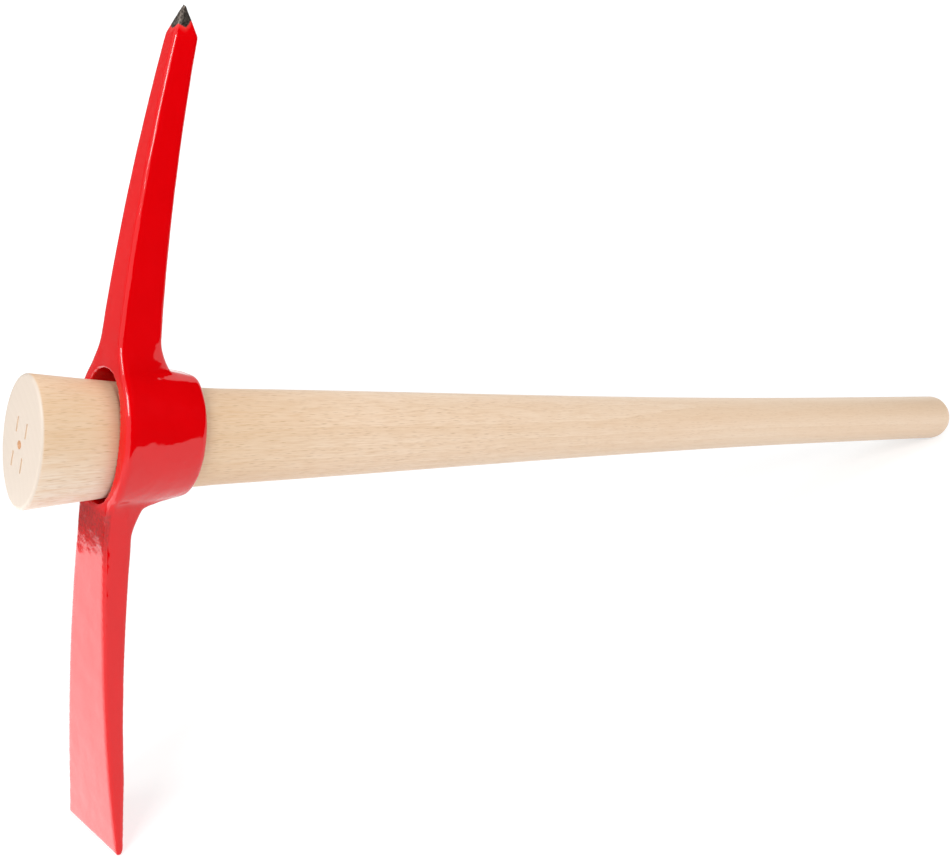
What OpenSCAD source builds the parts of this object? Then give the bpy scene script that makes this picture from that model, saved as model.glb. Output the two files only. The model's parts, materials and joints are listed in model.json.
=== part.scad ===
// Pick axe: a forged head with a point and a chisel blade, slipped over a turned wooden handle.
// The handle runs along X from its flared end and the point rises along +Z. The finished tool is
// then tipped so that it stands on its blade and on the end of its grip. All sizes in millimetres.

/* [Handle] */
// Length of the handle, from the flared end to the end of the grip
handle_length = 948; // [800:2:1100]
// Height of the oval face at the flared end
flare_height = 77.4; // [74:0.2:82]
// Width of the oval face at the flared end
flare_width = 49.6; // [47:0.2:54]
// Length over which the flare runs out
flare_length = 130; // [120:5:150]
// Height of the oval behind the head
throat_height = 59.2; // [56:0.2:62]
// Width of the oval behind the head
throat_width = 43; // [42.6:0.2:44]
// Distance from the flared end to where the throat begins to slim
throat_at = 120; // [105:5:160]
// Diameter of the round grip
grip_d = 40.6; // [36:0.2:42.4]
// Length of the straight round grip
grip_length = 200; // [120:5:260]
// Rounding of the grip's end
grip_round = 10; // [2:0.5:12]
// Bevel round the flared end face
flare_bevel = 2; // [0.4:0.1:3]

/* [Eye] */
// Distance from the flared end to the front of the head
eye_front = 46; // [40:1:55]
// Depth of the eye along the handle
eye_depth = 56.5; // [50:0.5:62]
// Slip clearance between eye and handle, all round
eye_clearance = 0.3; // [0.2:0.05:0.5]
// Extra height of the eye at its front, above and below the handle
eye_gap = 2.4; // [1:0.1:5]
// How far the eye's axis lies above the handle's, so that the handle beds on the eye's floor
eye_rise = 2.4; // [0:0.1:3]
// Wall of the eye at the front, on its flanks
eye_wall_front = 10.5; // [8:0.25:12]
// Wall of the eye at its rear rim, above and below
eye_wall_rear = 3.8; // [3:0.1:6]
// Wall of the eye at its rear rim, on its flanks
eye_flank_rear = 4.4; // [3.5:0.1:6]
// Height of the shoulder above the handle's axis, on the point's side
shoulder_top = 52; // [48:0.5:56]
// Depth of the shoulder below the handle's axis, on the blade's side
shoulder_bottom = 44; // [43:0.5:52]
// Rounding of the eye's edges
eye_round = 4; // [2:0.25:4]

/* [Point] */
// Reach of the point above the handle's axis
point_reach = 246.4; // [220:0.2:280]
// Length of the ground pyramid at the tip
point_tip = 16.4; // [12:0.2:24]
// Thickness of the point's arm at the pyramid, along the handle
point_thick = 14.4; // [11:0.2:17]
// Thickness of the point's arm at the eye
point_root_thick = 26.6; // [22:0.2:30]
// Width of the point's arm at the pyramid
point_width = 12; // [9:0.25:16]
// Width of the point's arm at the eye
point_root_width = 24.6; // [20:0.2:28]
// How far the back of the point's arm sweeps into the eye
point_sweep = 15.5; // [10:0.5:18]
// Half width of the blunt tip
tip_half = 0.7; // [0.4:0.1:1.2]

/* [Blade] */
// Reach of the blade's edge below the handle's axis
blade_reach = 249.6; // [220:0.2:280]
// Width of the blade's edge
blade_edge_width = 65; // [54:0.5:80]
// Part of the edge's width that the blade gains in a spread near its end
blade_spread = 6; // [0:0.5:12]
// Width of the blade where it leaves the eye
blade_root_width = 36.8; // [32:0.2:42]
// Thickness of the blade where it leaves the eye
blade_root_thick = 17.6; // [14:0.2:21]
// Thickness of the blade where its ground edge begins
blade_thick = 10.4; // [9:0.2:13]
// Length of the ground edge
blade_grind = 46; // [30:1:60]
// Thickness left where the back begins to round off to the edge
blade_edge = 5.8; // [4:0.2:7]
// Length over which the back rounds off to the edge
edge_run = 8; // [5:0.5:12]
// Width of the flat along the blunted edge
edge_nose = 1.2; // [0.6:0.1:1.4]
// How far the back of the blade sweeps into the eye
blade_sweep = 9; // [3:0.5:10]

/* [Forging] */
// Radius of the arc that the front of the head follows
head_arc = 1390; // [900:10:2400]
// Rounding of the ridges of both arms
ridge_round = 2.6; // [1.5:0.1:3]

/* [Hidden] */

// Fineness of the curves
oval_sides = 48;
corner_steps = 5;
handle_rings = 26;
eye_rings = 8;
nose_steps = [0.88, 0.65, 0.35];
grind_slices = 3;
blade_slices = 9;
eye_slices = 80;
point_slices = 8;

// The handle: how steeply its flare runs out and its swell dies away, and how square its oval is
flare_power = 1.4;
swell_power = 0.72;
flare_oval = 2.2;
grip_r = grip_d / 2;
grip_start = handle_length - grip_length;
// The round grip starts inside the oval stretch, whose facets stand just outside it
grip_lap = 0.12;
grip_lap_length = 5;

// The eye: its rear rim, and the heights that its sloping back and its shoulder would reach
eye_rear = eye_front + eye_depth;
eye_cut_over = 3;
rim_half_z = half_z(eye_rear) + eye_clearance + eye_rise + eye_wall_rear;
rim_half_y = half_y(eye_rear) + eye_clearance + eye_flank_rear;
rim_face_z = rim_half_z - eye_round;
rim_crest = 5;
collar_half_z = half_z(eye_front) + eye_clearance + eye_rise + eye_gap + eye_wall_front / 2;
shoulder_half_y = half_y(eye_front) + eye_clearance + eye_wall_front;
shoulder_leave = 0.7;

// The arms: where they leave the eye, and how their backs sweep into it
point_base = point_reach - point_tip;
grind_start = blade_reach - blade_grind;
nose_start = blade_reach - edge_run;
root_run = 8;
arm_root = shoulder_top + root_run;
sweep_power = 1.7;
point_sweep_length = 25;
blade_sweep_length = 18;
web_slope = 0.5;
web_round = 10;
waist_share = 0.8;
waist_clear = 1.1;
spread_power = 4;
round_run = 30;
round_share = 0.45;

function lerp(a, b, t) = a + (b - a) * t;
function clamp01(t) = min(1, max(0, t));
function ease(t) = t * t * (3 - 2 * t);
function signed_pow(v, p) = sign(v) * pow(abs(v), p);
// The larger of two values, with the corner between them filled by a fillet of size k
function fillet_max(a, b, k) = max(a, b) + pow(max(k - abs(a - b), 0), 2) / (4 * k);

// How much of the swell and of the flare is left at a place on the handle
function swell(x) = 1 - ease(pow(clamp01((x - throat_at) / (grip_start - throat_at)), swell_power));
function flare(x) = pow(max(0, 1 - x / flare_length), flare_power);
function half_size(x, flare_size, throat_size) =
    (grip_d + (throat_size - grip_d) * swell(x) + (flare_size - throat_size) * flare(x)) / 2;
function half_z(x) = half_size(x, flare_height, throat_height);
function half_y(x) = half_size(x, flare_width, throat_width);
function oval_power(x) = lerp(flare_oval, 2, clamp01(x / grip_start));

// An oval ring across the handle's axis, which may rise further above the axis than it falls below
function oval(x, y_half, z_up, z_down, power) = [
    for (i = [0 : oval_sides - 1])
        let (a = -360 * i / oval_sides, p = 2 / power)
        [x, y_half * signed_pow(cos(a), p), (sin(a) > 0 ? z_up : z_down) * signed_pow(sin(a), p)]
];

function handle_ring(x, inset) =
    oval(x, half_y(x) - inset, half_z(x) - inset, half_z(x) - inset, oval_power(x));

// The eye follows the handle with its clearance, and opens towards the front above and below
function eye_ring(x) =
    let (
        open = eye_gap * (1 - (x - eye_front) / eye_depth),
        floor_z = half_z(x) + eye_clearance + open
    )
    oval(x, half_y(x) + eye_clearance, floor_z + 2 * eye_rise, floor_z, oval_power(x));

// The head is sliced across Z. Each slice has a front, a waist and a back, with a half width at each.
function front_x(z) = eye_front + z * z / (2 * head_arc);

function point_along(z) = clamp01((z - arm_root) / (point_base - arm_root));
function blade_along(z) = clamp01((-z - arm_root) / (blade_reach - arm_root));
function blade_unground(z) = clamp01((-z - arm_root) / (grind_start - arm_root));
function blade_ground(z) = clamp01((-z - grind_start) / (nose_start - grind_start));
function blade_nose(z) = clamp01((-z - nose_start) / edge_run);

function sweep(z, size, length) = size * pow(clamp01(1 - (abs(z) - rim_half_z) / length), sweep_power);
function arm_sweep(z) =
    z > 0 ? sweep(z, point_sweep, point_sweep_length) : sweep(z, blade_sweep, blade_sweep_length);
function point_deep(z) = lerp(point_root_thick, point_thick, point_along(z));
function blade_deep(z) =
    let (full = lerp(lerp(blade_root_thick, blade_thick, blade_unground(z)), blade_edge, blade_ground(z)))
    lerp(edge_nose, full, sqrt(1 - pow(blade_nose(z), 2)));
function arm_deep(z) = lerp(blade_deep(z), point_deep(z), clamp01(0.5 + z / arm_root));

// The rear of the eye is flat, rounds over at its rim and slopes up towards the front
function collar_back(z) =
    let (h = abs(z - eye_rise), over = clamp01((h - rim_face_z) / eye_round))
    h < rim_half_z
        ? eye_rear - eye_round * (1 - sqrt(1 - over * over))
        : eye_rear - eye_round - (h - rim_half_z) * eye_depth / (collar_half_z - rim_half_z);
function back_x(z) = fillet_max(front_x(z) + arm_deep(z) + arm_sweep(z), collar_back(z), eye_round);

function point_half(z) = lerp(point_root_width, point_width, point_along(z)) / 2;
function blade_half(z) = (lerp(blade_root_width, blade_edge_width - blade_spread, blade_along(z))
    + blade_spread * pow(blade_along(z), spread_power)) / 2;
function arm_half(z) = z > 0 ? point_half(z) : blade_half(z);

// The shoulder round the front of the eye is an oval that runs out along its tangent into the arm
function shoulder_oval(h, half_h) = shoulder_half_y * sqrt(max(0, 1 - pow(h / half_h, 2)));
function shoulder_slope(h, half_h) = pow(shoulder_half_y / half_h, 2) * h / shoulder_oval(h, half_h);
function shoulder(z) =
    let (half_h = z > 0 ? shoulder_top : shoulder_bottom, leave = shoulder_leave * half_h, h = abs(z))
    h < leave
        ? shoulder_oval(h, half_h)
        : shoulder_oval(leave, half_h) - shoulder_slope(leave, half_h) * (h - leave);
function front_half(z) = fillet_max(arm_half(z), shoulder(z), eye_round);

// Behind, the slice is as wide as the rim's oval, or as the arm that narrows into the rim's crest
function rim_oval(z) =
    fillet_max(rim_crest, rim_half_y * sqrt(max(0, 1 - pow((z - eye_rise) / rim_half_z, 2))), web_round);
function web(z) = back_x(z) - front_x(z) - arm_deep(z);
function back_half(z) = fillet_max(arm_half(z) - web_slope * web(z), rim_oval(z), web_round);

// Between the two, the ridge at the back of the arm stands out of the flank
function waist_x(z) = min(front_x(z) + waist_share * arm_deep(z), back_x(z) - waist_clear * ridge(z));
function waist_half(z) =
    let (along = (waist_x(z) - front_x(z)) / (back_x(z) - front_x(z)))
    max(arm_half(z), lerp(front_half(z), back_half(z), along));

// The ridges of the arms are rounded alike, and more so round the eye
function ridge(z) = min(lerp(ridge_round, eye_round, clamp01((arm_root - abs(z)) / round_run)),
                        round_share * (back_x(z) - front_x(z)));
function back_ridge(z) = min(ridge(z), 2 * round_share * back_half(z));

// A slice with a waist and four rounded corners, given by points [x, half width] on one side
function slice(z, front, waist, back, r_front, r_back) =
    let (
        lean = atan2(front[1] - waist[1], waist[0] - front[0]),
        lean_back = atan2(waist[1] - back[1], back[0] - waist[0]),
        front_c = front + r_front * [1, -tan(lean) - 1 / cos(lean)],
        back_c = back + r_back * [-1, tan(lean_back) - 1 / cos(lean_back)],
        half = concat(
            [for (i = [0 : corner_steps])
                let (a = lerp(180, 90 - lean, i / corner_steps))
                front_c + r_front * [cos(a), sin(a)]],
            [waist],
            [for (i = [0 : corner_steps])
                let (a = lerp(90 - lean_back, 0, i / corner_steps))
                back_c + r_back * [cos(a), sin(a)]])
    )
    concat([for (p = half) [p[0], p[1], z]],
           [for (i = [len(half) - 1 : -1 : 0]) [half[i][0], -half[i][1], z]]);

function head_slice(z) =
    slice(z, [front_x(z), front_half(z)], [waist_x(z), waist_half(z)], [back_x(z), back_half(z)],
          ridge(z), back_ridge(z));

// The tip and the edge are drawn in to a blunt end
function mid_x(z) = (front_x(z) + back_x(z)) / 2;
function end_slice(z, x, x_half, y_half) =
    let (r = round_share * x_half)
    slice(z, [x - x_half, y_half], [x, y_half], [x + x_half, y_half], r, r);
function tip_slice() = end_slice(point_reach, mid_x(point_base), tip_half, tip_half);
function edge_slice() =
    end_slice(-blade_reach, front_x(-blade_reach) + edge_nose / 2, edge_nose / 2,
              front_half(-blade_reach) - edge_nose);

// A skin over rings that all have the same number of points
module skin(rings) {
    n = len(rings[0]);
    last = (len(rings) - 1) * n;
    sides = [
        for (r = [0 : len(rings) - 2], i = [0 : n - 1])
            let (a = r * n + i, b = r * n + (i + 1) % n)
            each [[a, b, b + n], [a, b + n, a + n]]
    ];
    ends = [[for (i = [n - 1 : -1 : 0]) i], [for (i = [0 : n - 1]) last + i]];
    polyhedron(points = [for (ring = rings) each ring], faces = concat(sides, ends));
}

// The tool stands on the rear corner of the blade's edge and on the rounded end of the grip
edge_foot = [front_x(-blade_reach) + edge_nose, -blade_reach];
grip_foot = [handle_length - grip_round, grip_round - grip_r];
foot_span = grip_foot - edge_foot;
tilt = atan2(foot_span[1], foot_span[0]) - asin(grip_round / norm(foot_span));
rise = edge_foot[0] * sin(tilt) - edge_foot[1] * cos(tilt);
reach_back = (flare_height / 2 - flare_bevel) * sin(tilt);
reach_on = grip_foot[0] * cos(tilt) - grip_foot[1] * sin(tilt) + grip_round;

module standing() {
    translate([(reach_back - reach_on) / 2, 0, rise])
        rotate([0, tilt, 0])
            children();
}

module oval_stretch() {
    crowding = 1.4;
    xs = [for (i = [0 : handle_rings]) lerp(flare_bevel, grip_start, pow(i / handle_rings, crowding))];
    skin(concat([handle_ring(0, flare_bevel)],
                [for (x = xs) handle_ring(x, -grip_lap * x / grip_start)]));
}

module grip() {
    straight = grip_lap_length + grip_length - grip_round;
    translate([grip_start - grip_lap_length, 0, 0])
        rotate([90, 0, 90])
            rotate_extrude($fn = 96)
                intersection() {
                    square([grip_r, straight + grip_round]);
                    union() {
                        square([grip_r - grip_round, straight + grip_round]);
                        square([grip_r, straight]);
                        translate([grip_r - grip_round, straight])
                            circle(grip_round, $fn = 64);
                    }
                }
}

module handle() {
    color("burlywood")
        standing() {
            oval_stretch();
            grip();
        }
}

module forging() {
    nose_zs = [for (step = nose_steps) -nose_start - step * edge_run];
    grind_zs = [for (i = [0 : grind_slices]) lerp(-nose_start, -grind_start, i / grind_slices)];
    blade_zs = [for (i = [1 : blade_slices]) lerp(-grind_start, -arm_root, i / blade_slices)];
    eye_zs = [for (i = [1 : eye_slices - 1]) lerp(-arm_root, arm_root, i / eye_slices)];
    point_zs = [for (i = [0 : point_slices]) lerp(arm_root, point_base, i / point_slices)];
    skin(concat([edge_slice()],
                [for (z = concat(nose_zs, grind_zs, blade_zs, eye_zs, point_zs)) head_slice(z)],
                [tip_slice()]));
}

module eye() {
    skin([for (i = [0 : eye_rings])
        eye_ring(lerp(eye_front - eye_cut_over, eye_rear + eye_cut_over, i / eye_rings))]);
}

module head() {
    color("red")
        standing()
            difference() {
                forging();
                eye();
            }
}

handle();
head();
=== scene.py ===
# %% [markdown]
# # A pick axe in the studio
# A forged steel head in glossy red enamel sits on a turned beech handle. The solid model already stands in
# the scene at its real size, so this script only dresses it: a softer forging, a turned handle with the
# marks that its lathe left, the two finishes, and the photographer's light.

# %% The frame
import json
import math

import bpy
from mathutils import Euler, Matrix, Vector


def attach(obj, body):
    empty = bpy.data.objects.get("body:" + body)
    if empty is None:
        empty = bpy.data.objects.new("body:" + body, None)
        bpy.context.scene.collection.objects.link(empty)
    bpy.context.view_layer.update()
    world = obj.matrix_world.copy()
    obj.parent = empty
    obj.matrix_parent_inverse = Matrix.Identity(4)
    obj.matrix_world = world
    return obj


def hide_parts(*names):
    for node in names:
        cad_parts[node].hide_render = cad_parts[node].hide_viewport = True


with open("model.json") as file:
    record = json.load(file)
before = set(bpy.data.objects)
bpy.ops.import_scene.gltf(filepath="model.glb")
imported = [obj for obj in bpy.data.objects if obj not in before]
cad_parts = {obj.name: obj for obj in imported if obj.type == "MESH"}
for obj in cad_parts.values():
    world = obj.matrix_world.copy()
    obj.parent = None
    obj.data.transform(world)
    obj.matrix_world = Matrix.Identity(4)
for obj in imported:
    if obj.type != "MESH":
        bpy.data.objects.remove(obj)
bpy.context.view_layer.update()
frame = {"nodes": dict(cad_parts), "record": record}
MM = 0.001

# %% [markdown]
# ## How the tool stands
# The tool leans on the edge of its blade and on the end of its grip. Both pieces are easier to think about
# in the tool's own axes: X along the handle from its flared end, Y across it, Z up the point. The mount on
# the flared end face gives the place of those axes, and its outward direction gives their tilt.

# %% The tool's own axes
mounts = {mount["name"]: mount for mount in frame["record"]["mounts"]}
butt_place = Vector(mounts["butt_face"]["pos_m"])
butt_out = Vector(mounts["butt_face"]["axis"])
tilt = math.atan2(butt_out.z, -butt_out.x)
stance = Matrix.Translation(butt_place) @ Matrix.Rotation(tilt, 4, "Y")
print("the handle falls by", round(math.degrees(tilt), 2), "degrees towards its grip")

# %% [markdown]
# ## The camera
# The view was worked out from the outlines in the photograph: a short telephoto, close to the flared end,
# looking along the handle and down on it.

# %% The camera
camera_place = (-0.7392, -0.7294, 0.5349)
camera_turn = (69.133, 2.778, -40.907)
sensor_width = 36.0
focal_length = 54.65

camera_data = bpy.data.cameras.new("camera")
camera_data.sensor_width = sensor_width
camera_data.lens = focal_length
camera = bpy.data.objects.new("camera", camera_data)
camera.location = camera_place
camera.rotation_euler = Euler([math.radians(angle) for angle in camera_turn])
bpy.context.scene.collection.objects.link(camera)
bpy.context.scene.camera = camera
print("camera", round((camera.location - butt_place).length, 3), "m from the flared end")

# %% [markdown]
# ## The forged head
# The real head is one drop forging. Its form is right in the solid model, but there it is made of flat
# facets that meet in crisp edges, and gloss would show every one. Bevels would round the edges and leave the
# facets. So a copy is merged into one skin, rebuilt as an even net of small faces by a voxel remesh, and
# relaxed, which is what enamel does as it flows: corners fill a little and ridges lose their edge.
# An operator acts on all that is selected, so each step first selects its piece alone.

# %% One skin
merge_within = 0.001 * MM
forging_voxel = 1.0 * MM
relax_share = 0.5
relax_passes = 4


def select_only(piece):
    """Deselects all, then selects one object and makes it active."""
    bpy.ops.object.select_all(action="DESELECT")
    piece.select_set(True)
    bpy.context.view_layer.objects.active = piece


def apply_modifier(piece, kind, **settings):
    """Adds one modifier with its settings and applies it."""
    select_only(piece)
    bpy.ops.object.modifier_add(type=kind)
    modifier = piece.modifiers[-1]
    for name, value in settings.items():
        setattr(modifier, name, value)
    bpy.ops.object.modifier_apply(modifier=modifier.name)


head = bpy.data.objects.new("forged_head", frame["nodes"]["head"].data.copy())
bpy.context.scene.collection.objects.link(head)
select_only(head)
bpy.ops.object.mode_set(mode="EDIT")
bpy.ops.mesh.select_all(action="SELECT")
bpy.ops.mesh.remove_doubles(threshold=merge_within)
bpy.ops.object.mode_set(mode="OBJECT")
apply_modifier(head, "REMESH", mode="VOXEL", voxel_size=forging_voxel)
apply_modifier(head, "SMOOTH", factor=relax_share, iterations=relax_passes)
print("forged head:", len(head.data.polygons), "faces")

# %% [markdown]
# ## Hammering
# Hammer and dies leave a forging slightly uneven, and its highlights wander. Bump in the material could
# suggest that, but a very shallow displacement by a soft cloud texture puts it into the mesh itself.

# %% Hammering
hammer_wide = 16 * MM
hammer_deep = 0.22 * MM
hammer_detail = 1

hammering = bpy.data.textures.new("hammering", "CLOUDS")
hammering.noise_scale = hammer_wide
hammering.noise_depth = hammer_detail
apply_modifier(head, "DISPLACE", texture=hammering, texture_coords="LOCAL", strength=hammer_deep)
select_only(head)
bpy.ops.object.shade_smooth()
print("hammered", hammer_deep / MM, "mm deep")

# %% [markdown]
# ## The turned handle
# A copy lathe turns the handle from one billet: oval and flared where the head jams, round at the grip. Its
# height and its width follow one curve with different sizes, so one function gives both at any distance from
# the flared end. The sizes are the solid model's, in millimetres.

# %% The handle's outline
handle_length = 948
flare_height, flare_width = 77.4, 49.6
flare_length = 130
flare_power = 1.4
throat_height, throat_width = 59.2, 43.0
throat_at = 120
swell_power = 0.72
grip_d = 40.6
grip_start = 748


def ease(t):
    """A smooth step from 0 to 1."""
    return t * t * (3 - 2 * t)


def oval_at(x, flare_size, throat_size):
    """Height or width of the handle at a distance from its flared end, in millimetres."""
    along = min(1, max(0, (x - throat_at) / (grip_start - throat_at)))
    swell = 1 - ease(along ** swell_power)
    flare = max(0, 1 - x / flare_length) ** flare_power
    return grip_d + (throat_size - grip_d) * swell + (flare_size - throat_size) * flare


def station(x, inset=0.0):
    """Place along the handle, width and height of one ring, in millimetres."""
    return (x, oval_at(x, flare_width, throat_width) - 2 * inset,
            oval_at(x, flare_height, throat_height) - 2 * inset)


print("the throat is", [round(size, 1) for size in station(throat_at)[1:]], "mm wide and high")

# %% [markdown]
# ## Its rings
# The outline is cut into rings, as a turner marks stations on a billet. Both ends are rounded over by a
# quarter circle. Inside the eye the sides are pinched a little, because the wood bears on the eye above and
# below and leaves a gap at its sides: that gap is the dark line round the joint.

# %% The handle's rings
flare_round = 2.4
grip_round = 10.0
quarter_steps = 6
body_from, body_step = 92, 16
# A distance from the flared end, and how far each side is pinched there
seat_pinch = ((12, 0), (28, 0), (46.5, 0), (48, 0.15), (48.8, 0.6), (49.3, 1.6), (60, 1.6), (76, 0))

quarter = [math.radians(90 * step / quarter_steps) for step in range(quarter_steps + 1)]
butt_rings = [station(flare_round * (1 - math.sin(turn)), flare_round * (1 - math.cos(turn)))
              for turn in reversed(quarter)]
seat_rings = [(x, station(x, pinch)[1], station(x)[2]) for x, pinch in seat_pinch]
body_rings = [station(x) for x in range(body_from, grip_start + 1, body_step)]
end_rings = []
for turn in quarter:
    end_d = grip_d - 2 * grip_round * (1 - math.cos(turn))
    end_rings.append((handle_length - grip_round * (1 - math.sin(turn)), end_d, end_d))
rings = butt_rings + seat_rings + body_rings + end_rings
print("the handle has", len(rings), "rings")

# %% [markdown]
# ## Turning it
# A curve spun round would give a round handle only. So a small filled circle is laid at the flared end and
# extruded from ring to ring, and each ring is resized to its own width and height.

# %% Turning it
around = 64
start_d = 1.0

bpy.ops.object.select_all(action="DESELECT")
bpy.ops.mesh.primitive_circle_add(vertices=around, radius=0.5 * start_d * MM, fill_type="NGON",
                                  rotation=(0, math.radians(90), 0))
handle = bpy.context.active_object
handle.name = "turned_handle"
bpy.ops.object.transform_apply(location=True, rotation=True, scale=True)
bpy.ops.object.mode_set(mode="EDIT")
bpy.ops.mesh.select_all(action="SELECT")
x, width, height = 0.0, start_d, start_d
for next_x, next_width, next_height in rings:
    if next_x > x:
        bpy.ops.mesh.extrude_region_move(TRANSFORM_OT_translate={"value": ((next_x - x) * MM, 0, 0)})
    bpy.ops.transform.resize(value=(1, next_width / width, next_height / height),
                             center_override=(next_x * MM, 0, 0))
    x, width, height = next_x, next_width, next_height
bpy.ops.mesh.select_all(action="SELECT")
bpy.ops.mesh.normals_make_consistent(inside=False)
bpy.ops.object.mode_set(mode="OBJECT")
print("turned handle:", len(handle.data.vertices), "vertices,", x, "mm long")

# %% [markdown]
# ## The lathe's marks
# The drive centre of the lathe bit into the flared end and left a small hole with four short slots round it.
# Dark spots in the material could stand for them, but real cuts catch the light. One slot cutter is modelled,
# copied to each place and taken out with a Boolean.

# %% The slots
mark_centre = (0, 2.0 * MM, -2.0 * MM)
mark_turn = math.radians(8)
slot_long, slot_wide, slot_deep = 9.0, 1.5, 0.8
slot_across, slot_up = 5.8, 10.2


def cut(piece, cutter):
    """Takes the cutter out of the piece, then deletes it."""
    apply_modifier(piece, "BOOLEAN", operation="DIFFERENCE", solver="EXACT", object=cutter)
    bpy.data.objects.remove(cutter)


mark_axes = Matrix.Translation(mark_centre) @ Matrix.Rotation(mark_turn, 4, "X")
bpy.ops.object.select_all(action="DESELECT")
bpy.ops.mesh.primitive_cube_add(size=1, scale=(2 * slot_deep * MM, slot_wide * MM, slot_long * MM))
slot_cutter = bpy.context.active_object
bpy.ops.object.transform_apply(location=True, rotation=True, scale=True)
for up in (slot_up, -slot_up):
    for across in (slot_across, -slot_across):
        select_only(slot_cutter)
        bpy.ops.object.duplicate()
        copied_cutter = bpy.context.active_object
        copied_cutter.matrix_world = mark_axes @ Matrix.Translation((0, across * MM, up * MM))
        bpy.ops.object.transform_apply(location=True, rotation=True, scale=True)
        cut(handle, copied_cutter)
bpy.data.objects.remove(slot_cutter)
print("turned handle:", len(handle.data.polygons), "faces with its slots")

# %% [markdown]
# ## The hole
# The pin of the drive centre left a shallow hole that narrows inwards, so its cutter is a blunt cone.

# %% The hole
hole_r, hole_deep = 3.7, 1.8
hole_taper = 0.4
hole_sides = 24

bpy.ops.object.select_all(action="DESELECT")
bpy.ops.mesh.primitive_cone_add(vertices=hole_sides, radius1=hole_r * MM, radius2=hole_taper * hole_r * MM,
                                depth=2 * hole_deep * MM, rotation=(0, math.radians(90), 0),
                                location=mark_centre)
hole_cutter = bpy.context.active_object
bpy.ops.object.transform_apply(location=True, rotation=True, scale=True)
cut(handle, hole_cutter)
print("turned handle:", len(handle.data.polygons), "faces with its hole")

# %% [markdown]
# ## Standing it up
# So far the handle lies in the tool's own axes. It is turned into the frame, and the turn goes into its mesh,
# because a finished piece's object sits at the origin. Only edges sharper than the crease angle stay crisp.

# %% Standing it up
crease_angle = math.radians(30)

select_only(handle)
handle.matrix_world = stance
bpy.ops.object.transform_apply(location=True, rotation=True, scale=True)
bpy.ops.object.shade_smooth_by_angle(angle=crease_angle)
print("turned handle stands from", [round(low, 4) for low in handle.bound_box[0]], "m")

# %% [markdown]
# ## Colours and nodes
# Colours are written as they look on a screen and turned into the linear values that light uses. One small
# function adds a shader node, sets it and links it. Both finishes are drawn in the tool's own axes, which a
# Mapping node works out from Object coordinates. A Mix node's colour sockets share their names with others of
# the node, so they are called by number.

# %% Colours and nodes
COLOUR_A, COLOUR_B, COLOUR_OUT = 6, 7, 2


def linear(hex_colour):
    """An sRGB hex colour as linear red, green, blue and alpha."""
    parts = [int(hex_colour[i:i + 2], 16) / 255 for i in (0, 2, 4)]
    return [p / 12.92 if p <= 0.04045 else ((p + 0.055) / 1.055) ** 2.4 for p in parts] + [1.0]


def add_node(tree, kind, inputs=None, **settings):
    """Adds a shader node to a tree, sets its properties, and sets or links its inputs."""
    node = tree.nodes.new("ShaderNode" + kind)
    for name, value in settings.items():
        setattr(node, name, value)
    for name, value in (inputs or {}).items():
        if isinstance(value, bpy.types.NodeSocket):
            tree.links.new(value, node.inputs[name])
        else:
            node.inputs[name].default_value = value
    return node


def new_material(name):
    """A material with its node tree, its principled shader and the tool's own axes in metres."""
    material = bpy.data.materials.new(name)
    material.use_nodes = True
    tree = material.node_tree
    place = add_node(tree, "TexCoord")
    axes = add_node(tree, "Mapping", {"Vector": place.outputs["Object"], "Location": butt_place,
                                      "Rotation": (0, tilt, 0)}, vector_type="TEXTURE")
    return material, tree, tree.nodes["Principled BSDF"], axes.outputs["Vector"]


print("middle grey in linear light:", round(linear("808080")[0], 3))

# %% [markdown]
# ## Red enamel on forged steel
# The head is coated in a glossy red enamel: a smooth clear film over a strong pigment. It gives the eye a
# sharp white reflection over a deep red. The forging below isn't flat, so soft waves bend the reflections,
# more round the eye than on the arms, and the film has an orange peel of its own. Painted highlights would be
# wrong from every other side, so all of this is bump, and the lamps do the rest.

# %% The enamel's waves
wave_wide, wave_deep = 18.0, 1.2
peel_wide, peel_deep, peel_strength = 3.0, 0.1, 0.4
eye_to, arms_from = 45.0, 60.0
eye_unevenness, arm_unevenness = 0.8, 0.2
soft, fine = 2.0, 3.0  # how much detail a noise has

enamel, tree, shader, axes = new_material("red_enamel_on_forged_steel")
parts = add_node(tree, "SeparateXYZ", {"Vector": axes})
waves = add_node(tree, "TexNoise", {"Vector": axes, "Scale": 1 / (wave_wide * MM), "Detail": soft})
peel = add_node(tree, "TexNoise", {"Vector": axes, "Scale": 1 / (peel_wide * MM), "Detail": soft})
from_eye = add_node(tree, "Math", {0: parts.outputs["Z"]}, operation="ABSOLUTE")
unevenness = add_node(tree, "MapRange", {
    "Value": from_eye.outputs[0], "From Min": eye_to * MM, "From Max": arms_from * MM,
    "To Min": eye_unevenness, "To Max": arm_unevenness})
wave_bump = add_node(tree, "Bump", {
    "Height": waves.outputs["Fac"], "Strength": unevenness.outputs[0], "Distance": wave_deep * MM})
peel_bump = add_node(tree, "Bump", {
    "Height": peel.outputs["Fac"], "Strength": peel_strength, "Distance": peel_deep * MM,
    "Normal": wave_bump.outputs["Normal"]})
print("enamel waves are", wave_wide, "mm wide")

# %% [markdown]
# ## The bare tip
# The tip of the point was dressed on a grinding wheel after painting. There the steel is bare, dark and
# scratched, its edge is ragged, and the paint beside it is rubbed thin and pale. A second material on some
# faces would give a stepped edge. Here the distance from the point's own axis, with some noise, decides where
# the paint ends.

# %% Where the tip is bare
point_axis_x = 71.5
tip_from = 225.0
edge_grain, edge_wander = 2.0, 0.8
bare_to, paint_from, paint_whole_from = 5.5, 5.8, 6.8
rubbed_share = 0.3

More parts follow.
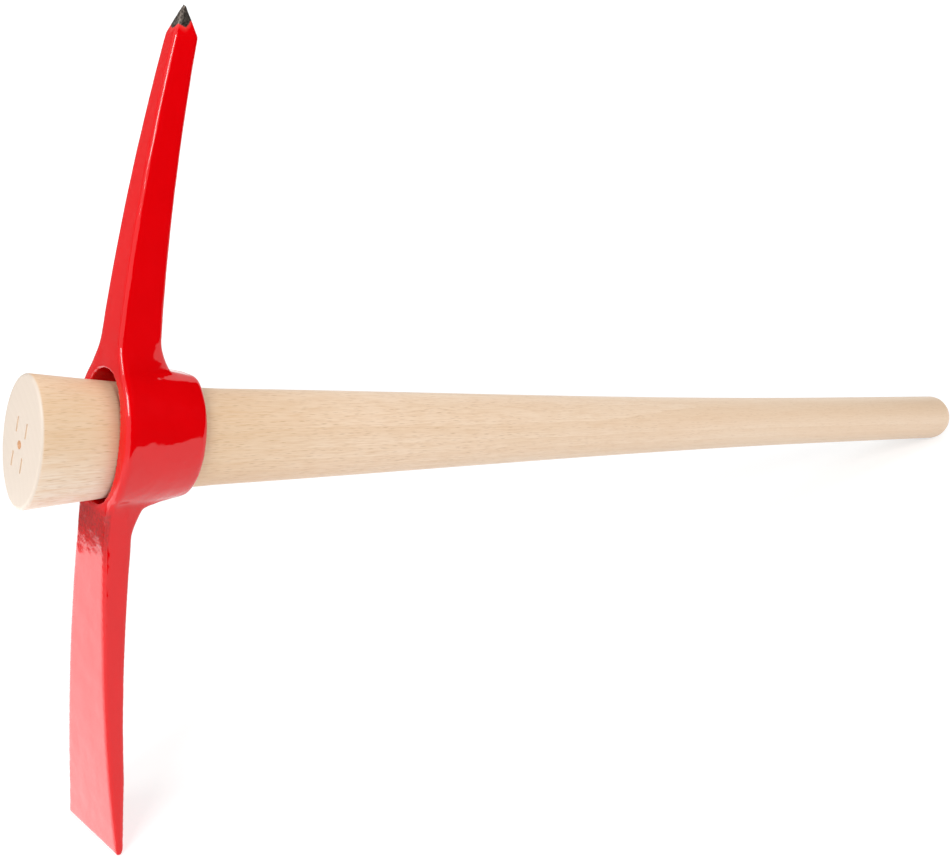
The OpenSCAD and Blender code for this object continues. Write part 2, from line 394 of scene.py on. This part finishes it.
off_axis = add_node(tree, "Math", {0: parts.outputs["X"], 1: point_axis_x * MM}, operation="SUBTRACT")
across_point = add_node(tree, "CombineXYZ", {"X": off_axis.outputs[0], "Y": parts.outputs["Y"]})
radius = add_node(tree, "VectorMath", {0: across_point.outputs[0]}, operation="LENGTH")
edge_noise = add_node(tree, "TexNoise", {"Vector": axes, "Scale": 1 / (edge_grain * MM), "Detail": fine})
ragged = add_node(tree, "Math", {0: edge_noise.outputs["Fac"], 1: edge_wander * MM, 2: radius.outputs["Value"]},
                  operation="MULTIPLY_ADD")
on_tip = add_node(tree, "Math", {0: parts.outputs["Z"], 1: tip_from * MM}, operation="GREATER_THAN")
near_axis = add_node(tree, "MapRange", {
    "Value": ragged.outputs[0], "From Min": paint_from * MM, "From Max": bare_to * MM})
near_bare = add_node(tree, "MapRange", {
    "Value": ragged.outputs[0], "From Min": paint_whole_from * MM, "From Max": paint_from * MM,
    "To Max": rubbed_share})
bare = add_node(tree, "Math", {0: near_axis.outputs[0], 1: on_tip.outputs[0]}, operation="MULTIPLY")
rubbed = add_node(tree, "Math", {0: near_bare.outputs[0], 1: on_tip.outputs[0]}, operation="MULTIPLY")
print("bare steel to", bare_to, "mm from the point's axis")

# %% [markdown]
# ## Ground steel
# A grinding wheel leaves many short scratches that lie one way, and the steel looks dark and light by turns.
# Noise that is drawn out along the scratches gives both.

# %% Ground steel
# The real scratches are about a tenth of a millimetre wide, and they are drawn coarser so that they show
scratch_wide, scratch_long = 0.7, 2.5
scratch_turn = (0.5, 0.5, 0)
noise_low, noise_high = 0.35, 0.65  # most values of a noise lie between these

scratch_axes = add_node(tree, "Mapping", {
    "Vector": axes, "Rotation": scratch_turn,
    "Scale": (1 / (scratch_wide * MM), 1 / (scratch_wide * MM), 1 / (scratch_long * MM))})
grit = add_node(tree, "TexNoise", {"Vector": scratch_axes.outputs[0], "Scale": 1.0, "Detail": fine})
grind = add_node(tree, "MapRange", {
    "Value": grit.outputs["Fac"], "From Min": noise_low, "From Max": noise_high})
steel = add_node(tree, "Mix", {"Factor": grind.outputs[0], COLOUR_A: linear("352e2b"),
                               COLOUR_B: linear("958a80")}, data_type="RGBA")
print("scratches are drawn", scratch_long, "mm long")

# %% [markdown]
# ## Painted shade under the handle
# At the top of the blade's front, in the corner below the handle, the red is darkened: painted shade where
# the handle keeps the light off, broken up into grain like the rough skin of the forging, whose bump also
# roughens it. Three soft limits, below the eye, above the plain part of the blade and on its front, mark the
# place.

# %% Painted shade under the handle
eye_edge, shade_full_from = -36.0, -42.0
shade_full_to, shade_ends_at = -54.0, -72.0
front_to, side_from = 48.5, 50.0
skin_grain, skin_deep = 1.6, 0.04
shade_least, shade_most = 0.25, 0.6

below_eye = add_node(tree, "MapRange", {
    "Value": parts.outputs["Z"], "From Min": eye_edge * MM, "From Max": shade_full_from * MM})
above_plain = add_node(tree, "MapRange", {
    "Value": parts.outputs["Z"], "From Min": shade_ends_at * MM, "From Max": shade_full_to * MM})
on_front = add_node(tree, "MapRange", {
    "Value": parts.outputs["X"], "From Min": side_from * MM, "From Max": front_to * MM})
under_handle = add_node(tree, "Math", {0: below_eye.outputs[0], 1: above_plain.outputs[0]},
                        operation="MULTIPLY")
painted_shade_zone = add_node(tree, "Math", {0: under_handle.outputs[0], 1: on_front.outputs[0]}, operation="MULTIPLY")
skin = add_node(tree, "TexNoise", {"Vector": axes, "Scale": 1 / (skin_grain * MM), "Detail": fine})
grainy_shade = add_node(tree, "MapRange", {
    "Value": skin.outputs["Fac"], "From Min": noise_low, "From Max": noise_high,
    "To Min": shade_least, "To Max": shade_most})
painted_shade_share = add_node(tree, "Math", {0: grainy_shade.outputs[0], 1: painted_shade_zone.outputs[0]}, operation="MULTIPLY")
skin_bump = add_node(tree, "Bump", {
    "Height": skin.outputs["Fac"], "Strength": painted_shade_zone.outputs[0], "Distance": skin_deep * MM,
    "Normal": peel_bump.outputs["Normal"]})
# The printed band is where the painted shade lies
print("thin enamel from", shade_full_from, "to", shade_full_to, "mm below the handle's axis")

# %% [markdown]
# ## The enamel's colour and gloss
# The colour is built up in order: red, painted shade in the corner under the handle, the rubbed edge, and bare
# steel where the paint is gone. The film is as smooth as enamel is, and the ground steel is much duller.

# %% The enamel's colour and gloss
enamel_roughness, steel_roughness = 0.07, 0.5
enamel_ior = 1.5

red = add_node(tree, "Mix", {"Factor": waves.outputs["Fac"], COLOUR_A: linear("cf0004"),
                             COLOUR_B: linear("da0108")}, data_type="RGBA")
# Painted shade: under the handle the red darkens towards 5a1208 in a grainy pattern
red_with_painted_shade = add_node(tree, "Mix", {"Factor": painted_shade_share.outputs[0], COLOUR_A: red.outputs[COLOUR_OUT],
                                 COLOUR_B: linear("5a1208")}, data_type="RGBA")
thinned = add_node(tree, "Mix", {"Factor": rubbed.outputs[0], COLOUR_A: red_with_painted_shade.outputs[COLOUR_OUT],
                                 COLOUR_B: linear("f0605a")}, data_type="RGBA")
coat = add_node(tree, "Mix", {"Factor": bare.outputs[0], COLOUR_A: thinned.outputs[COLOUR_OUT],
                              COLOUR_B: steel.outputs[COLOUR_OUT]}, data_type="RGBA")
gloss = add_node(tree, "MapRange", {
    "Value": bare.outputs[0], "To Min": enamel_roughness, "To Max": steel_roughness})
tree.links.new(coat.outputs[COLOUR_OUT], shader.inputs["Base Color"])
tree.links.new(gloss.outputs[0], shader.inputs["Roughness"])
tree.links.new(bare.outputs[0], shader.inputs["Metallic"])
tree.links.new(skin_bump.outputs["Normal"], shader.inputs["Normal"])
shader.inputs["IOR"].default_value = enamel_ior
head.data.materials.clear()
head.data.materials.append(enamel)
print("enamel:", len(tree.nodes), "nodes")

# %% [markdown]
# ## Turned beech
# Beech is pale and even, and a sanded handle of it is matt. It gives the eye faint growth rings, soft streaks
# and many short dark flecks, the wood's rays, along the grain. A flat picture of wood would smear round the
# flare, so the grain is solid: rings round a pith outside the billet, and streaks that run along the handle.

# %% Rings and streaks
ring_spacing = 5.2
pith = (0, 60, -50)
wander_long, wander_wide, ring_wander = 200.0, 100 / 7, 4.0
streak_long, streak_wide = 16.0, 0.8


def grain_scale(long, wide):
    """Scale of a pattern that is drawn out along the handle, from its sizes in millimetres."""
    return (1 / (long * MM), 1 / (wide * MM), 1 / (wide * MM))


beech, tree, shader, axes = new_material("turned_beech")
parts = add_node(tree, "SeparateXYZ", {"Vector": axes})
wander = add_node(tree, "Mapping", {"Vector": axes, "Scale": grain_scale(wander_long, wander_wide)})
drift = add_node(tree, "TexNoise", {"Vector": wander.outputs[0], "Scale": 1.0, "Detail": fine})
to_pith = add_node(tree, "Mapping", {"Vector": axes, "Location": [-MM * value for value in pith]})
bent = add_node(tree, "VectorMath", {0: drift.outputs["Color"], 1: (0, ring_wander * MM, ring_wander * MM),
                                     2: to_pith.outputs[0]}, operation="MULTIPLY_ADD")
# The wave node draws ten rings for every pi of its scaled distance
growth = add_node(tree, "TexWave", {"Vector": bent.outputs[0], "Distortion": 0.0,
                                    "Scale": math.pi / (10 * ring_spacing * MM)},
                  wave_type="RINGS", rings_direction="X", wave_profile="SAW")
streak_axes = add_node(tree, "Mapping", {"Vector": axes, "Scale": grain_scale(streak_long, streak_wide)})
streaks = add_node(tree, "TexNoise", {"Vector": streak_axes.outputs[0], "Scale": 1.0, "Detail": soft})
print("growth rings", ring_spacing, "mm apart")

# %% [markdown]
# ## Flecks
# The rays of beech show as short dark dashes. A Voronoi pattern drawn out along the handle has one spot in
# each cell, and the cell's own random colour makes some of them fainter. Towards the grip the cut is
# straighter along the grain, so flecks and streaks fade.

# %% Flecks
# Real flecks are two to four millimetres long and a third of one wide, and are drawn coarser so that they show
fleck_long, fleck_wide = 8.0, 0.65
fleck_edge, fleck_core = 0.4, 0.1
faintest, fleck_most = 0.2, 0.8
figured_to, plain_from, plain_share = 200.0, 650.0, 0.4

fleck_axes = add_node(tree, "Mapping", {"Vector": axes, "Scale": grain_scale(fleck_long, fleck_wide)})
cells = add_node(tree, "TexVoronoi", {"Vector": fleck_axes.outputs[0], "Scale": 1.0})
fleck_spot = add_node(tree, "MapRange", {
    "Value": cells.outputs["Distance"], "From Min": fleck_edge, "From Max": fleck_core})
fleck_depth = add_node(tree, "MapRange", {
    "Value": cells.outputs["Color"], "From Min": faintest, "From Max": 1.0, "To Max": fleck_most})
figure = add_node(tree, "MapRange", {
    "Value": parts.outputs["X"], "From Min": figured_to * MM, "From Max": plain_from * MM,
    "To Min": 1.0, "To Max": plain_share})
all_flecks = add_node(tree, "Math", {0: fleck_spot.outputs[0], 1: fleck_depth.outputs[0]},
                      operation="MULTIPLY")
flecks = add_node(tree, "Math", {0: all_flecks.outputs[0], 1: figure.outputs[0]}, operation="MULTIPLY")
print("flecks are drawn", fleck_long, "mm long")

# %% [markdown]
# ## The ground colour
# The wood is browner towards the flare. On the flare's underside it is painted paler: a painted reflection of
# the white floor below. Two soft limits, along the handle and down from its axis, mark that place.

# %% The ground colour
browner_from, brown_by, brown_most = 220.0, 110.0, 0.5
upper_to, under_from = 5.0, -30.0
reflection_to, reflection_from, reflection_most = 75.0, 45.0, 0.9

pale = add_node(tree, "Mix", {"Factor": drift.outputs["Fac"], COLOUR_A: linear("eed9c2"),
                              COLOUR_B: linear("e6c9ac")}, data_type="RGBA")
flare_tone = add_node(tree, "MapRange", {
    "Value": parts.outputs["X"], "From Min": browner_from * MM, "From Max": brown_by * MM,
    "To Max": brown_most})
ground = add_node(tree, "Mix", {"Factor": flare_tone.outputs[0], COLOUR_A: pale.outputs[COLOUR_OUT],
                                COLOUR_B: linear("d2b189")}, data_type="RGBA")
underside = add_node(tree, "MapRange", {
    "Value": parts.outputs["Z"], "From Min": upper_to * MM, "From Max": under_from * MM})
near_flare_reflection = add_node(tree, "MapRange", {
    "Value": parts.outputs["X"], "From Min": reflection_to * MM, "From Max": reflection_from * MM,
    "To Max": reflection_most})
painted_floor_reflection = add_node(tree, "Math", {0: underside.outputs[0], 1: near_flare_reflection.outputs[0]},
                      operation="MULTIPLY")
# Painted reflection of the white floor: the flare's underside is whitened towards e8ded2
with_painted_reflection = add_node(tree, "Mix", {"Factor": painted_floor_reflection.outputs[0], COLOUR_A: ground.outputs[COLOUR_OUT],
                                  COLOUR_B: linear("e8ded2")}, data_type="RGBA")
print("the wood turns browner from", browner_from, "to", brown_by, "mm behind the flared end")

# %% [markdown]
# ## The grain over it
# Rings, streaks and flecks are laid over the ground one after the other, from the faintest to the darkest, so
# that a fleck stays dark where it crosses a ring.

# %% The grain over it
ring_share = 0.25
streak_low, streak_high, streak_most = 0.4, 0.75, 0.6

ring_tint = add_node(tree, "Math", {0: growth.outputs["Fac"], 1: ring_share}, operation="MULTIPLY")
ringed = add_node(tree, "Mix", {"Factor": ring_tint.outputs[0], COLOUR_A: with_painted_reflection.outputs[COLOUR_OUT],
                                COLOUR_B: linear("d8b48c")}, data_type="RGBA")
all_streaks = add_node(tree, "MapRange", {
    "Value": streaks.outputs["Fac"], "From Min": streak_low, "From Max": streak_high, "To Max": streak_most})
streak = add_node(tree, "Math", {0: all_streaks.outputs[0], 1: figure.outputs[0]}, operation="MULTIPLY")
streaked = add_node(tree, "Mix", {"Factor": streak.outputs[0], COLOUR_A: ringed.outputs[COLOUR_OUT],
                                  COLOUR_B: linear("d3ad84")}, data_type="RGBA")
sides = add_node(tree, "Mix", {"Factor": flecks.outputs[0], COLOUR_A: streaked.outputs[COLOUR_OUT],
                               COLOUR_B: linear("ab8158")}, data_type="RGBA")
print("rings show by", ring_share, "and streaks by up to", streak_most)

# %% [markdown]
# ## The sawn end
# The sawn face is greyer than the sides, with the rings as faint arcs. It shares the sides' rings, so that they
# run on over the edge.

# %% The sawn end
side_grain_from, end_grain_to = 2.0, 1.0

end_arcs = add_node(tree, "Mix", {"Factor": ring_tint.outputs[0], COLOUR_A: linear("d4c6b8"),
                                  COLOUR_B: linear("ccbdad")}, data_type="RGBA")
sawn = add_node(tree, "MapRange", {
    "Value": parts.outputs["X"], "From Min": side_grain_from * MM, "From Max": end_grain_to * MM})
unmarked = add_node(tree, "Mix", {"Factor": sawn.outputs[0], COLOUR_A: sides.outputs[COLOUR_OUT],
                                  COLOUR_B: end_arcs.outputs[COLOUR_OUT]}, data_type="RGBA")
print("end grain to", end_grain_to, "mm behind the face")

# %% [markdown]
# ## The colour of the marks
# In the lathe's marks the fibres are freshly crushed: warm in the slots and browner in the hole. A mark is what
# lies near the centre of the face and a little behind it.

# %% The colour of the marks
marks_within, marks_deepest = 20.0, 6.0
face_depth, mark_depth = 0.05, 0.3
hole_margin = 1.0

on_face = add_node(tree, "CombineXYZ", {"Y": parts.outputs["Y"], "Z": parts.outputs["Z"]})
from_centre = add_node(tree, "VectorMath", {0: on_face.outputs[0], 1: mark_centre}, operation="DISTANCE")
inside = add_node(tree, "Math", {0: from_centre.outputs["Value"], 1: marks_within * MM}, operation="LESS_THAN")
shallow = add_node(tree, "Math", {0: parts.outputs["X"], 1: marks_deepest * MM}, operation="LESS_THAN")
sunk = add_node(tree, "MapRange", {
    "Value": parts.outputs["X"], "From Min": face_depth * MM, "From Max": mark_depth * MM})
sunk_inside = add_node(tree, "Math", {0: inside.outputs[0], 1: sunk.outputs[0]}, operation="MULTIPLY")
marked = add_node(tree, "Math", {0: sunk_inside.outputs[0], 1: shallow.outputs[0]}, operation="MULTIPLY")
in_hole = add_node(tree, "Math", {0: from_centre.outputs["Value"], 1: (hole_r + hole_margin) * MM},
                   operation="LESS_THAN")
mark_tone = add_node(tree, "Mix", {"Factor": in_hole.outputs[0], COLOUR_A: linear("e3cdb4"),
                                   COLOUR_B: linear("c99c74")}, data_type="RGBA")
wood = add_node(tree, "Mix", {"Factor": marked.outputs[0], COLOUR_A: unmarked.outputs[COLOUR_OUT],
                              COLOUR_B: mark_tone.outputs[COLOUR_OUT]}, data_type="RGBA")
print("marks to", marks_within, "mm from their centre")

# %% [markdown]
# ## The beech's finish
# Turned and sanded wood is matt with a weak sheen, and the sandpaper leaves the flecks a little lower.

# %% The beech's finish
beech_roughness = 0.42
beech_ior = 1.5
fleck_strength, fleck_deep = 0.3, 0.1

fleck_bump = add_node(tree, "Bump", {"Height": flecks.outputs[0], "Strength": fleck_strength,
                                     "Distance": fleck_deep * MM}, invert=True)
tree.links.new(wood.outputs[COLOUR_OUT], shader.inputs["Base Color"])
tree.links.new(fleck_bump.outputs["Normal"], shader.inputs["Normal"])
shader.inputs["Roughness"].default_value = beech_roughness
shader.inputs["IOR"].default_value = beech_ior
handle.data.materials.clear()
handle.data.materials.append(beech)
print("beech:", len(tree.nodes), "nodes")

# %% [markdown]
# ## The floor
# The tool stands on a wide floor that fills the picture. Light falls on it as on any matt white paint, and what
# it throws back softens the shadows under the handle.

# %% The floor
floor_size = 40.0
floor_roughness = 0.9

bpy.ops.object.select_all(action="DESELECT")
bpy.ops.mesh.primitive_plane_add(size=floor_size)
floor = bpy.context.active_object
floor.name = "floor"
floor_paint = bpy.data.materials.new("white_floor")
floor_paint.use_nodes = True
tree = floor_paint.node_tree
shader = tree.nodes["Principled BSDF"]
shader.inputs["Base Color"].default_value = linear("fafafa")
shader.inputs["Roughness"].default_value = floor_roughness
shader.inputs["Specular IOR Level"].default_value = 0.0
floor.data.materials.append(floor_paint)
print("floor", floor_size, "m wide")

# %% [markdown]
# ## The floor's white
# More light would turn the floor white and burn out the wood. Instead it is nearly white by itself to the camera
# and in reflections, more so far away, and a share of paint in it takes the tool's shadow.

# %% The floor's white
near_white, far_white = 0.66, 0.95
fade_from, fade_to = 0.6, 1.4
shadow_share = 0.45


def seen_share(tree):
    """1 for rays from the camera and for mirrored or refracted ones, and 0 for rays that carry light."""
    ray = add_node(tree, "LightPath")
    mirrored = add_node(tree, "Math", {0: ray.outputs["Is Glossy Ray"], 1: ray.outputs["Is Transmission Ray"]},
                        operation="MAXIMUM")
    seen = add_node(tree, "Math", {0: ray.outputs["Is Camera Ray"], 1: mirrored.outputs[0]},
                    operation="MAXIMUM")
    return seen.outputs[0]


shade = add_node(tree, "BsdfDiffuse", {"Color": (shadow_share, shadow_share, shadow_share, 1)})
place = add_node(tree, "TexCoord")
away = add_node(tree, "VectorMath", {0: place.outputs["Object"]}, operation="LENGTH")
own_white = add_node(tree, "MapRange", {
    "Value": away.outputs["Value"], "From Min": fade_from, "From Max": fade_to,
    "To Min": near_white, "To Max": far_white})
white = add_node(tree, "Emission", {"Color": (1, 1, 1, 1), "Strength": own_white.outputs[0]})
backdrop = add_node(tree, "AddShader", {0: shade.outputs[0], 1: white.outputs[0]})
paint = add_node(tree, "MixShader", {0: seen_share(tree), 1: shader.outputs[0], 2: backdrop.outputs[0]})
tree.links.new(paint.outputs[0], tree.nodes["Material Output"].inputs["Surface"])
print("the floor's own white goes from", near_white, "to", far_white)

# %% [markdown]
# ## The room
# A white room gives the fill. As light it is dim, so that the lamps shape the tool, but the camera and the
# reflections see it as white as the floor. The picture shows colours as they are, without a film curve.

# %% The room
room_strength = 0.45

world = bpy.data.worlds.new("dim_white_room")
bpy.context.scene.world = world
world.use_nodes = True
background = world.node_tree.nodes["Background"]
background.inputs["Color"].default_value = (1, 1, 1, 1)
level = add_node(world.node_tree, "MapRange", {
    "Value": seen_share(world.node_tree), "To Min": room_strength, "To Max": 1.0})
world.node_tree.links.new(level.outputs[0], background.inputs["Strength"])
bpy.context.scene.view_settings.view_transform = "Standard"
print("room light", room_strength)

# %% [markdown]
# ## The softboxes
# The key is a softbox behind the camera: it shines back from the rounded ridge of the point as one thin line.
# A low light table on the far left whitens the front of the blade. One softbox lights the handle from above,
# and two fills, which no reflection shows, lift the head from the left and the grip from the right.

# %% The softboxes
head_place = (-0.37, 0, 0.3)
grip_place = (0.3, 0, 0.08)


def softbox(name, place, target, size, radiance):
    """A rectangular lamp of a given radiance that looks at a point, out of the camera's sight."""
    lamp = bpy.data.lights.new(name, "AREA")
    lamp.shape = "RECTANGLE"
    lamp.size, lamp.size_y = size
    lamp.energy = radiance * math.pi * size[0] * size[1]
    box = bpy.data.objects.new(name, lamp)
    box.location = place
    box.rotation_euler = (Vector(target) - Vector(place)).to_track_quat("-Z", "Y").to_euler()
    box.visible_camera = False
    bpy.context.scene.collection.objects.link(box)
    print(name, round(lamp.energy, 1), "W")
    return box


softbox("key_softbox", place=(-1.5, -0.8, 1.24), target=head_place, size=(0.6, 0.62), radiance=13.0)
softbox("light_table", place=(-0.84, 0.34, 0.0003), target=(-0.84, 0.34, 1.0), size=(0.81, 0.74), radiance=1.22)
left_fill = softbox("left_softbox", place=(-1.5, 0.2, 1.3), target=head_place, size=(0.7, 0.7), radiance=4.0)
softbox("top_softbox", place=(0.3, -0.2, 1.8), target=(0.3, 0, 0), size=(1.6, 0.8), radiance=1.6)
right_fill = softbox("right_softbox", place=(1.1, -1.6, 1.0), target=grip_place, size=(1.4, 1.4), radiance=2.1)
left_fill.visible_glossy = False
right_fill.visible_glossy = False

# %% [markdown]
# ## The flags
# Gloss shows the whole room, so a photographer hangs cloths where a reflection should be dark. Two black ones
# meet in a corner on the right, down to the floor, and keep the side of the point a deep red. The lower half of
# the collar mirrors the white floor in front of them. A grey one stands beyond the light table.

# %% The flags
unseen_by = ("visible_camera", "visible_diffuse", "visible_transmission", "visible_shadow")


def flag(name, colour, place, turn, size):
    """An upright cloth that only reflections show."""
    bpy.ops.object.select_all(action="DESELECT")
    bpy.ops.mesh.primitive_plane_add(size=1, location=place, rotation=[math.radians(angle) for angle in turn])
    cloth = bpy.context.active_object
    cloth.name = name
    cloth.scale = (size[0], size[1], 1)
    weave = bpy.data.materials.new(name)
    weave.use_nodes = True
    shader = weave.node_tree.nodes["Principled BSDF"]
    shader.inputs["Base Color"].default_value = linear(colour)
    shader.inputs["Specular IOR Level"].default_value = 0.0
    cloth.data.materials.append(weave)
    for ray_kind in unseen_by:
        setattr(cloth, ray_kind, False)
    print(name, size, "m")


flag("black_flag", "0a0a0a", place=(0.42, -0.508, 1.2), turn=(90, 0, 16.6), size=(2.25, 2.4))
flag("end_flag", "0a0a0a", place=(1.5, 0.07, 0.95), turn=(90, 0, 90), size=(0.52, 1.9))
flag("grey_flag", "8a8a8a", place=(-0.95, 0.73, 0.55), turn=(90, 0, 0), size=(1.8, 1.1))

# %% [markdown]
# ## Handing over
# Each piece rides on the body that it dresses and stands for its solid.

# %% Handing over
for piece, name, slot in ((head, "head", "red_enamel"), (handle, "handle", "beech")):
    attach(piece, name)
    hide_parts(name)
